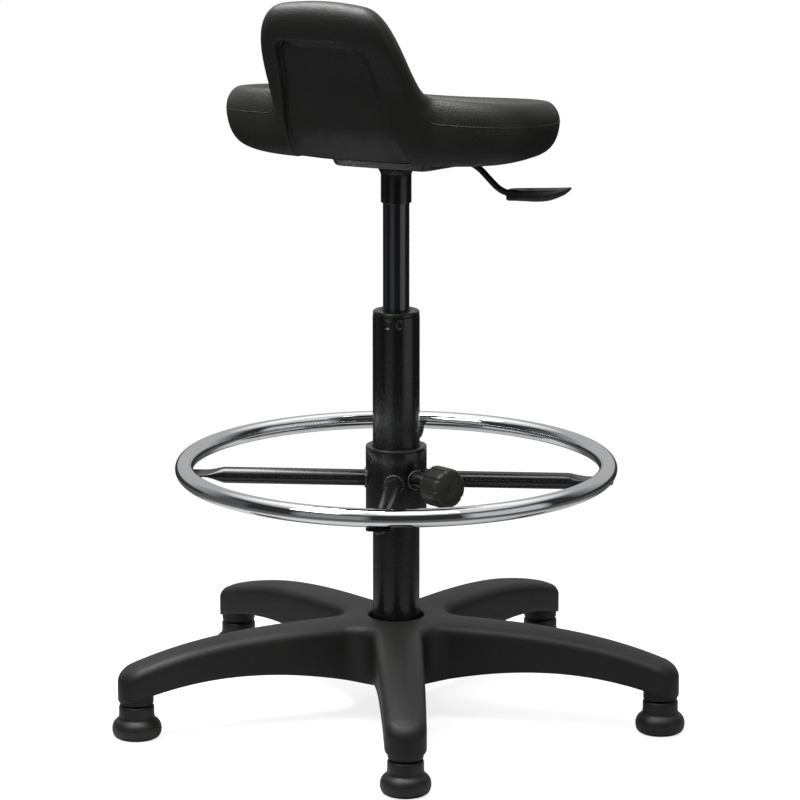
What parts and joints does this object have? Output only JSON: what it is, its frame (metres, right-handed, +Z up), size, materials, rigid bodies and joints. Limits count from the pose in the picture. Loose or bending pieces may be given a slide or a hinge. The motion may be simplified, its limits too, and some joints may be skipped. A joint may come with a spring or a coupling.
{
  "type": "perch stool",
  "caption": "Tall perch stool: dished seat with a small back, gas lift with side lever, sliding foot ring with clamp knob, star base on glides.",
  "frame": {"origin": "on the floor, under the middle of the whole part's box; the column stands 14 mm to the +X and 14 mm to the +Y side of it, because a five-legged base isn't symmetrical", "axes": "+Z up along the column, -Y to the sitter's front, +Y to the seat's back, -X to the release lever"},
  "size_m": [0.5982, 0.5984, 0.7853],
  "materials": {
    "base_nylon": "satin, lightly textured",
    "black_plastic": "matte",
    "black_paint": "gloss",
    "seat_foam": "matte, fine pebble grain",
    "black_rubber": "matte",
    "ring_chrome": "mirror",
    "plain_steel": "zinc plated",
    "pad_plastic": "matte",
    "brass": "machined",
    "board_wood": "raw plywood"
  },
  "bodies": {
    "base": {"star_base": "base_nylon", "hub_ring": "plain_steel", "glide_1": "black_plastic", "glide_2": "black_plastic", "glide_3": "black_plastic", "glide_4": "black_plastic", "glide_5": "black_plastic", "glide_stem_1": "plain_steel", "glide_stem_2": "plain_steel", "glide_stem_3": "plain_steel", "glide_stem_4": "plain_steel", "glide_stem_5": "plain_steel", "column_tube": "black_paint", "guide_bush": "black_plastic", "lower_washer": "plain_steel", "ball_ring": "brass"},
    "gas_rod": {"piston_rod": "ring_chrome", "rod_clip": "plain_steel", "piston": "plain_steel", "piston_ring": "black_rubber", "upper_washer": "plain_steel", "buffer_ring": "black_rubber"},
    "seat_frame": {"pressure_tube": "black_paint", "rod_guide": "brass", "rod_seal": "black_rubber", "valve_block": "brass", "taper_socket": "black_paint", "seat_plate": "black_paint", "lever_bracket": "plain_steel", "lever_pivot_pin": "plain_steel", "seat_bolt_1": "plain_steel", "seat_bolt_2": "plain_steel", "seat_bolt_3": "plain_steel", "seat_bolt_4": "plain_steel", "seat_moulding": "seat_foam", "insert_board": "board_wood", "t_nut_1": "plain_steel", "t_nut_2": "plain_steel", "t_nut_3": "plain_steel", "t_nut_4": "plain_steel"},
    "lever": {"lever_rod": "black_paint", "lever_grip": "black_plastic"},
    "release_pin": {"release_pin": "plain_steel"},
    "ring_slide": {"collar_bush_upper": "black_plastic", "collar_bush_lower": "black_plastic"},
    "ring": {"ring_collar": "black_paint", "foot_ring": "ring_chrome", "clamp_boss": "black_paint", "ring_spoke_1": "black_paint", "ring_spoke_2": "black_paint", "ring_spoke_3": "black_paint", "ring_spoke_4": "black_paint", "ring_screw_1": "plain_steel", "ring_screw_2": "plain_steel", "ring_screw_3": "plain_steel", "ring_screw_4": "plain_steel"},
    "clamp_pad": {"clamp_pad": "pad_plastic"},
    "clamp_knob": {"clamp_knob": "black_plastic", "clamp_screw": "plain_steel"}
  },
  "joints": [
    {"name": "seat_swivel", "type": "hinge", "parent": "base", "child": "gas_rod", "pos_m": [0.01422, 0.01391, 0.0382], "axis": [0, 0, 1], "continuous": true},
    {"name": "seat_lift", "type": "slide", "parent": "gas_rod", "child": "seat_frame", "axis": [0, 0, 1], "range_m": [-0.115, 0.15]},
    {"name": "lever_turn", "type": "hinge", "parent": "seat_frame", "child": "lever", "pos_m": [-0.02348, 0.01391, 0.604], "axis": [0, 1, 0], "range_deg": [0, 5], "stiffness_Nm_per_rad": 8},
    {"name": "pin_press", "type": "slide", "parent": "seat_frame", "child": "release_pin", "axis": [0, 0, 1], "range_m": [-0.0034, 0]},
    {"name": "ring_height", "type": "slide", "parent": "base", "child": "ring_slide", "axis": [0, 0, 1], "range_m": [-0.1, 0.12]},
    {"name": "ring_swivel", "type": "hinge", "parent": "ring_slide", "child": "ring", "pos_m": [0.01422, 0.01391, 0.25], "axis": [0, 0, 1], "continuous": true},
    {"name": "clamp_travel", "type": "slide", "parent": "ring", "child": "clamp_pad", "axis": [-0.9107, 0.4131, 0], "range_m": [0, 0.003]},
    {"name": "clamp_turn", "type": "hinge", "parent": "clamp_pad", "child": "clamp_knob", "pos_m": [-0.03132, 0.03456, 0.2605], "axis": [-0.9107, 0.4131, 0], "range_deg": [0, 720]}
  ],
  "couplings": [
    {"joint": "pin_press", "follows": "lever_turn", "m_per_rad": -0.0377},
    {"joint": "clamp_travel", "follows": "clamp_turn", "m_per_rad": 0.00023871}
  ]
}
